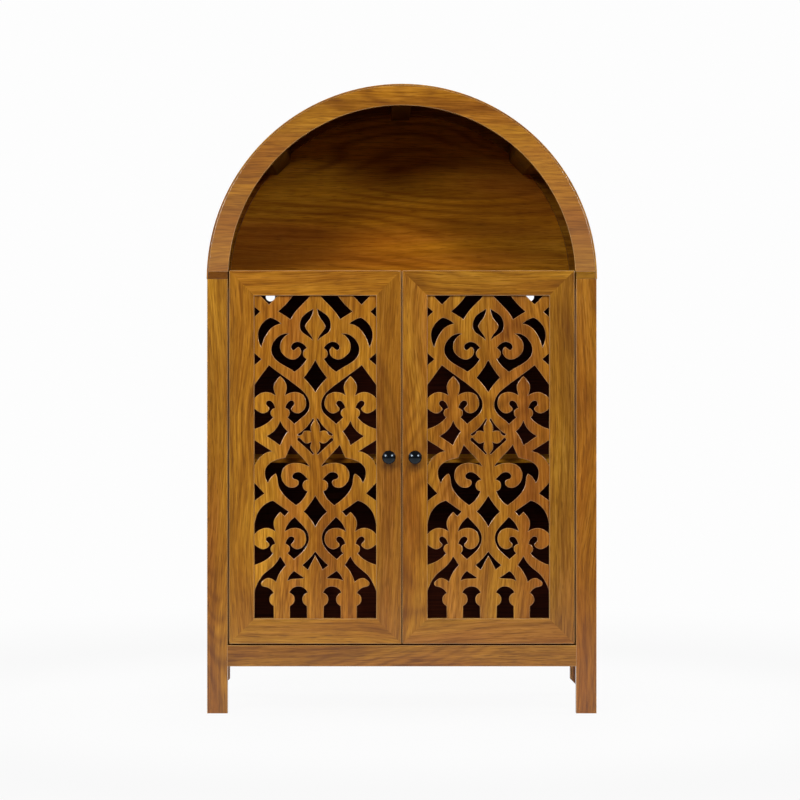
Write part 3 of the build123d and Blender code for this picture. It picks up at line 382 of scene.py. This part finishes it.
fittings = {
    "carcass_dowels": beech, "arch_dowels": beech, "back_panel_screws": zinc, "shelf_pins": zinc,
}
for side in ("left", "right"):
    fittings.update({
        f"{side}_door_dowels": beech, f"{side}_hinge_post_leaf": bronze,
        f"{side}_hinge_door_leaf": bronze, f"{side}_hinge_pin": bronze,
        f"{side}_hinge_post_screws": bronze, f"{side}_hinge_door_screws": bronze,
        f"{side}_knob": lacquer, f"{side}_knob_screw": zinc,
        f"{side}_catch_housing": brown_plastic, f"{side}_catch_magnet": ferrite,
        f"{side}_strike_plate": zinc,
    })
for name, material in fittings.items():
    dress(name, material)


# ---- floor, backdrop and light -----------------------------------------------------------------
WHITE = (0.983, 0.983, 0.983, 1)
FAR_MIRRORED = 0.15         # share of the white backdrop that reflections show
WORLD_LIGHT = 0.004
FLOOR_SIZE = 60.0
PAPER = [(0.3, (0.58, 0.58, 0.58)), (0.7, (0.62, 0.62, 0.62))]
FAR_PAPER = (0.03, 0.03, 0.03, 1)
# Distances from the cabinet over which the floor goes from paper that takes a shadow to plain
# white: as it is lit, as the camera sees it and as reflections show it.
LIT_FADE = (0.7, 1.3)
SEEN_FADE = (0.8, 2.4)
MIRRORED_FADE = (1.5, 2.6)


def white_to_the_eye(g, lit, white_kind, seen, mirrored):
    """Mix a shader with plain white light, by its share for the eye and for reflections."""
    path = g.node("ShaderNodeLightPath").outputs
    other = g.math("MAXIMUM", path["Is Glossy Ray"], path["Is Transmission Ray"])
    share = g.math("MAXIMUM", g.math("MULTIPLY", path["Is Camera Ray"], seen),
                   g.math("MULTIPLY", other, mirrored))
    white = g.node(white_kind, {0: WHITE, 1: 1.0})
    return g.node("ShaderNodeMixShader", {0: share, 1: lit, 2: white.outputs[0]}).outputs[0]


world = bpy.data.worlds.new("studio")
scene.world = world
world.use_nodes = True
g = Graph.of(world.node_tree)
dim = g.node("ShaderNodeBackground", {0: (1.0, 1.0, 1.0, 1), 1: WORLD_LIGHT})
sky = g.node("ShaderNodeOutputWorld")
backdrop = white_to_the_eye(g, dim.outputs[0], "ShaderNodeBackground", 1.0, FAR_MIRRORED)
g.tree.links.new(backdrop, sky.inputs[0])

bpy.ops.mesh.primitive_plane_add(size=FLOOR_SIZE, location=(0, 0, 0))
floor = bpy.context.object
floor.name = "studio_floor"
g = Graph("studio_floor")
tone = g.ramp(g.noise(g.node("ShaderNodeTexCoord").outputs["Object"], 0.6, 2.0), PAPER)
here = g.node("ShaderNodeNewGeometry").outputs["Position"]
away = g.node("ShaderNodeVectorMath", {0: here}, operation="LENGTH").outputs["Value"]


def sweep(fade, near, far):
    """A value that goes from near to far between two distances from the cabinet."""
    return g.node("ShaderNodeMapRange", {0: away, 1: fade[0], 2: fade[1], 3: near, 4: far},
                  interpolation_type="SMOOTHSTEP").outputs[0]


lit = g.node("ShaderNodeBsdfDiffuse", {
    "Color": g.mix(sweep(LIT_FADE, 0.0, 1.0), tone, FAR_PAPER)})
g.finish(white_to_the_eye(g, lit.outputs[0], "ShaderNodeEmission", sweep(SEEN_FADE, 0.95, 1.0),
                          sweep(MIRRORED_FADE, 0.98, FAR_MIRRORED)))
floor.data.materials.append(g.mat)


def softbox(name, location, target_z, size, power, diffuse=True, mirrored=False):
    """A rectangular lamp that faces the cabinet's middle line at a height."""
    data = bpy.data.lights.new(name, "AREA")
    data.shape = "RECTANGLE"
    data.size, data.size_y = size
    data.energy = power
    lamp = bpy.data.objects.new(name, data)
    scene.collection.objects.link(lamp)
    lamp.location = location
    aim = Vector((0, 0, target_z)) - Vector(location)
    lamp.rotation_euler = aim.to_track_quat("-Z", "Y").to_euler()
    lamp.visible_diffuse = diffuse
    lamp.visible_glossy = mirrored


# The key stands high, so that the niche is dark under its arch. Two lower lamps in front fill.
key_size = (2.4, 0.8)
fill_size = (1.0, 0.9)
glint_size = (1.5, 1.3)
side_size = (1.8, 2.0)
rear_size = (2.4, 1.6)
softbox("key_high", (-0.05, -3.6, 3.95), 0.9, key_size, 113)
for side, x, fill_power, glint_power in (("left", -1, 73, 200), ("right", 1, 61, 170)):
    softbox(f"front_{side}", (2.05 * x, -3.75, 2.5), 0.9, fill_size, fill_power)
    # only a reflection, on the knobs and on the boards' rounded edges
    softbox(f"glint_{side}", (3.2 * x, -2.3, 2.3), 0.6, glint_size, glint_power,
            diffuse=False, mirrored=True)
    softbox(f"side_{side}", (3.6 * x, 0.6, 1.9), 0.7, side_size, 110)
softbox("rear", (0.3, 4.0, 2.6), 0.7, rear_size, 120)

# ---- camera ------------------------------------------------------------------------------------
# It looks level along +Y from 5.4 m in front of the cabinet's front face. The shift centres the
# frame on a point of that face.
front_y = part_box("front_arch")[0].y
camera_data = bpy.data.cameras.new("camera")
camera = bpy.data.objects.new("camera", camera_data)
scene.collection.objects.link(camera)
camera_distance = 5.4
eye = Vector((-0.065, front_y - camera_distance, 0.705))
aim = Vector((-0.0038, front_y, 0.642))
frame_width = 1.639         # at the front face
camera.location = eye
camera.rotation_euler = (math.radians(90), 0, 0)
camera_data.sensor_width = 36.0
camera_data.lens = camera_data.sensor_width * camera_distance / frame_width
camera_data.shift_x = (aim.x - eye.x) / frame_width
camera_data.shift_y = (aim.z - eye.z) / frame_width
camera_data.clip_end = 200.0
scene.camera = camera
scene.view_settings.view_transform = "Standard"
